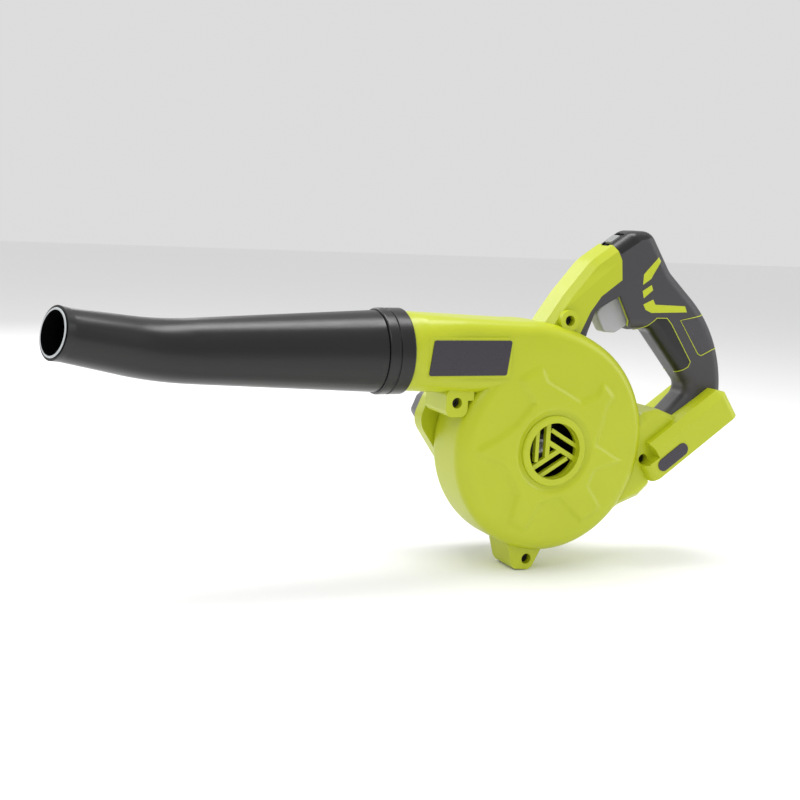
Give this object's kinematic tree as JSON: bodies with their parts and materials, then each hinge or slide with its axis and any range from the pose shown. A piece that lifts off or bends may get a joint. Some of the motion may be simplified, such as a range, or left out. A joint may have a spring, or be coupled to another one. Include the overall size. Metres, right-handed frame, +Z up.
{
  "type": "leaf blower",
  "caption": "Hand-held battery leaf blower with a spiral fan housing, bent nozzle, trigger, speed selector and D-handle with soft grip.",
  "frame": {"origin": "on the fan's axis, in the plane of the intake mouth", "axes": "-X along the nozzle, +X to the handle and battery dock, +Y from the intake side to the motor side, +Z up"},
  "size_m": [0.6794, 0.1363, 0.3253],
  "materials": {
    "shell": "bright yellow-green moulded plastic, semi-gloss",
    "soft_grip": "dark grey overmoulded rubber, satin",
    "panel_black": "black plastic, satin",
    "palm_texture": "dark grey textured rubber",
    "circuit_board": "circuit board",
    "steel": "plain steel",
    "screw_steel": "blackened steel",
    "magnet": "ferrite",
    "brass": "plain",
    "carbon": "carbon",
    "sleeve_rubber": "plain rubber",
    "cover_grey": "dark grey moulded plastic",
    "badge": "dark violet-grey, blank",
    "fan_plastic": "black glass-filled nylon",
    "winding": "varnished copper",
    "trigger_grey": "light grey plastic",
    "button_grey": "grey plastic",
    "nozzle_black": "black moulded plastic, semi-gloss",
    "tip_grey": "light grey ring"
  },
  "bodies": {
    "housing": {"left_housing": "shell", "right_housing": "shell", "left_grip_cover": "soft_grip", "right_grip_cover": "soft_grip", "grip_finger_panels": "panel_black", "grip_palm_panels": "palm_texture", "grip_inlays": "shell", "selector_bezel": "panel_black", "speed_board": "circuit_board", "switch_module": "panel_black", "intake_grille": "shell", "motor_can": "steel", "front_bearing": "steel", "end_bell": "panel_black", "rear_bearing": "steel", "field_magnets": "magnet", "brush_holders": "brass", "carbon_brushes": "carbon", "brush_springs": "steel", "motor_sleeve": "sleeve_rubber", "motor_cover": "cover_grey", "housing_screws": "screw_steel", "motor_cover_screws": "screw_steel", "terminal_block": "panel_black", "terminal_blades": "brass", "side_badges": "badge", "dock_plaques": "badge", "nozzle_seal": "sleeve_rubber"},
    "rotor": {"impeller": "fan_plastic", "impeller_washer": "steel", "impeller_nut": "steel", "motor_shaft": "steel", "armature": "winding", "commutator": "brass"},
    "trigger": {"trigger": "trigger_grey", "trigger_spring": "steel"},
    "selector": {"speed_selector": "button_grey"},
    "collar": {"nozzle_collar": "nozzle_black"},
    "nozzle": {"nozzle_tube": "nozzle_black", "nozzle_tip_ring": "tip_grey"}
  },
  "joints": [
    {"name": "fan_spin", "type": "hinge", "parent": "housing", "child": "rotor", "pos_m": [0, 0.036, 0], "axis": [0, -1, 0], "continuous": true},
    {"name": "trigger_pull", "type": "slide", "parent": "housing", "child": "trigger", "axis": [0.8721, 0, 0.4894], "range_m": [0, 0.006], "stiffness_N_per_m": 400, "springref_m": -0.006, "deforming": ["trigger_spring"]},
    {"name": "speed_select", "type": "slide", "parent": "housing", "child": "selector", "axis": [0.8306, 0, 0.5569], "range_m": [-0.004, 0.004]},
    {"name": "collar_pull", "type": "slide", "parent": "housing", "child": "collar", "axis": [-1, 0, 0], "range_m": [0, 0.025]},
    {"name": "nozzle_turn", "type": "hinge", "parent": "collar", "child": "nozzle", "pos_m": [-0.175, 0.036, 0.0905], "axis": [-1, 0, 0], "continuous": true}
  ]
}
